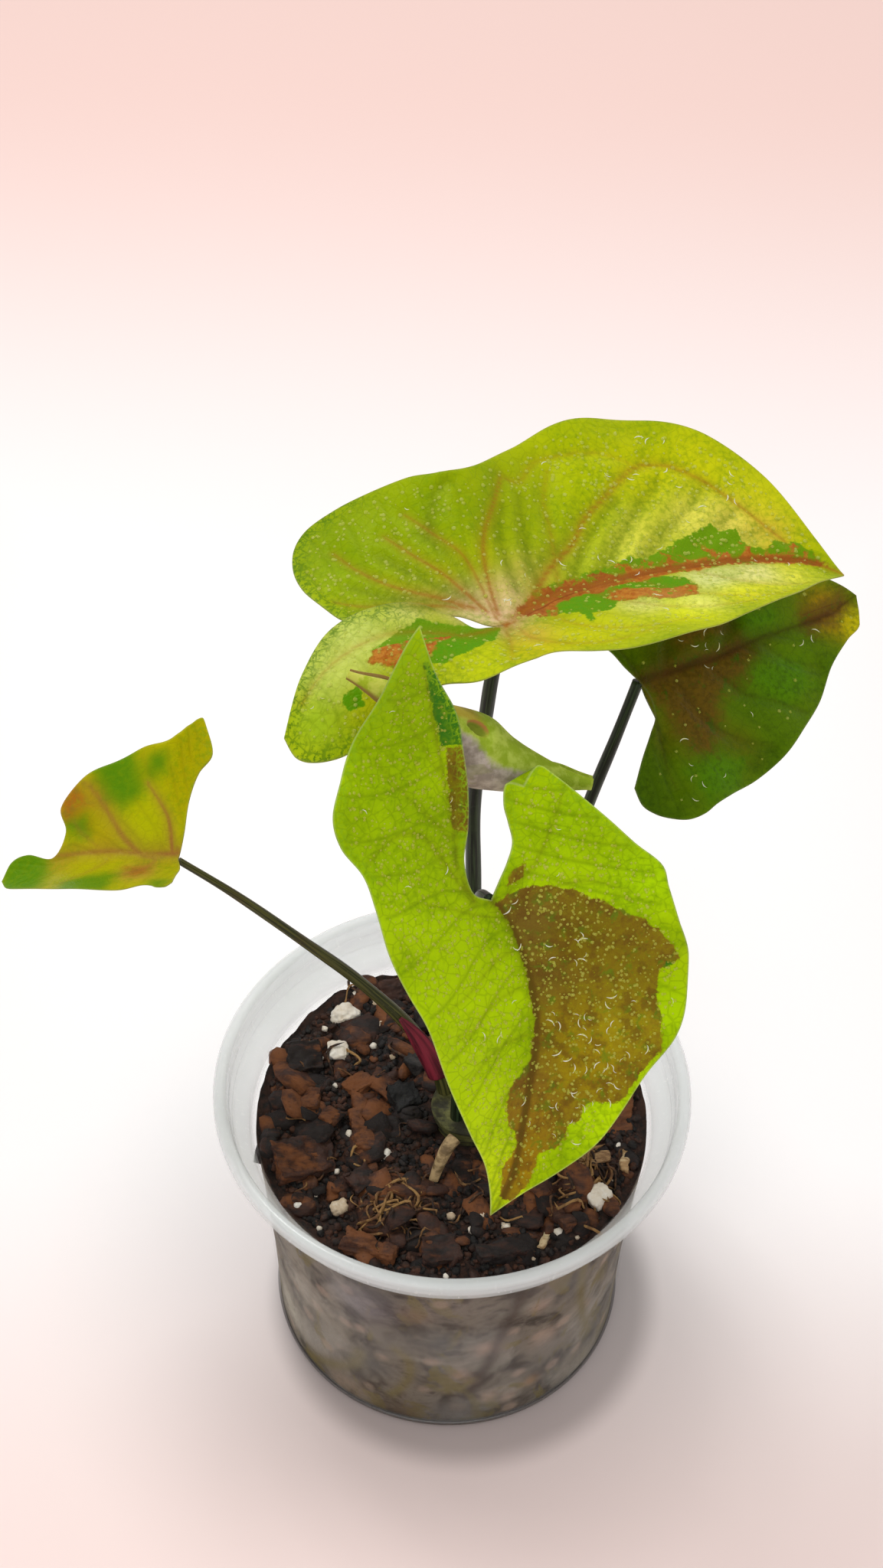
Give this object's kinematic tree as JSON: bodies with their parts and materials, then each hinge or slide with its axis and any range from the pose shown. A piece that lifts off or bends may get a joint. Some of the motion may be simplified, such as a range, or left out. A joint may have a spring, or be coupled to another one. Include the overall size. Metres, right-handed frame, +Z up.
{
  "type": "potted aroid house plant",
  "caption": "Young arrowhead-leaved aroid in a clear nursery cup of chunky bark mix, with open variegated leaves and a rolled new leaf.",
  "frame": {"origin": "middle of the cup's flat foot, on the surface that the cup stands on", "axes": "+Z up; -Y toward the viewer of the picture; +X to the viewer's right"},
  "size_m": [0.1512, 0.113, 0.1916],
  "materials": {
    "cup": "thin milky polypropylene, translucent, slightly scuffed",
    "mix": "damp crumbly bark and coir mix, matt",
    "bark": "orange-brown to dark brown bark, fibrous, matt",
    "charcoal": "black charcoal, matt",
    "perlite": "off-white foamed perlite, stained, matt",
    "wood": "pale dry wood and coir, matt",
    "crown": "olive-brown stem with old leaf scars, satin",
    "root": "beige aerial root, matt and slightly hairy",
    "sheath": "maroon petiole sheath, satin",
    "stem": "very dark green petiole, satin",
    "top_blade": "pale lime leaf with pink and orange-brown veins, glossy, fine water drops",
    "front_blade": "lime leaf with a brown sector right of the midrib, glossy, fine water drops",
    "right_blade": "dark green leaf clouded with brown, wet gloss",
    "left_blade": "yellow-green leaf with a pink-brown band and green blotches, satin",
    "rolled_blade": "pinkish grey underside of a rolled new leaf, yellow-lime along its edge, satin"
  },
  "bodies": {
    "root": {"nursery_cup": "cup", "growing_mix": "mix", "bark_chip_round": "bark", "bark_chip_flat": "bark", "bark_chip_large": "bark", "bark_chip_inner": "bark", "bark_stick": "bark", "bark_chip_back_left": "bark", "bark_chip_back": "bark", "bark_chip_back_right": "bark", "bark_chip_front_left": "bark", "bark_chip_front": "bark", "bark_chip_front_right": "bark", "bark_sliver_red": "bark", "bark_chip_right": "bark", "bark_chip_right_back": "bark", "bark_chip_mid_right": "bark", "bark_chip_mid_front": "bark", "bark_chip_mid_back": "bark", "bark_chip_low_left": "bark", "bark_chip_inner_right": "bark", "bark_chip_inner_back": "bark", "bark_chip_far_back": "bark", "bark_chip_small_left": "bark", "charcoal_lump": "charcoal", "charcoal_chip": "charcoal", "perlite_large": "perlite", "perlite_left": "perlite", "perlite_mid": "perlite", "perlite_front_left": "perlite", "perlite_edge": "perlite", "perlite_back": "perlite", "perlite_front": "perlite", "perlite_right": "perlite", "perlite_back_right": "perlite", "wood_chip_pale": "wood", "wood_sliver": "wood", "husk_curl": "wood", "crown_stem": "crown", "aerial_root": "root", "petiole_sheath": "sheath", "petiole_top": "stem", "petiole_front": "stem", "petiole_right": "stem", "petiole_left": "stem", "new_leaf_stalk": "stem", "blade_top": "top_blade", "blade_front": "front_blade", "blade_right": "right_blade", "blade_left": "left_blade", "new_leaf_rolled": "rolled_blade"}
  },
  "joints": []
}
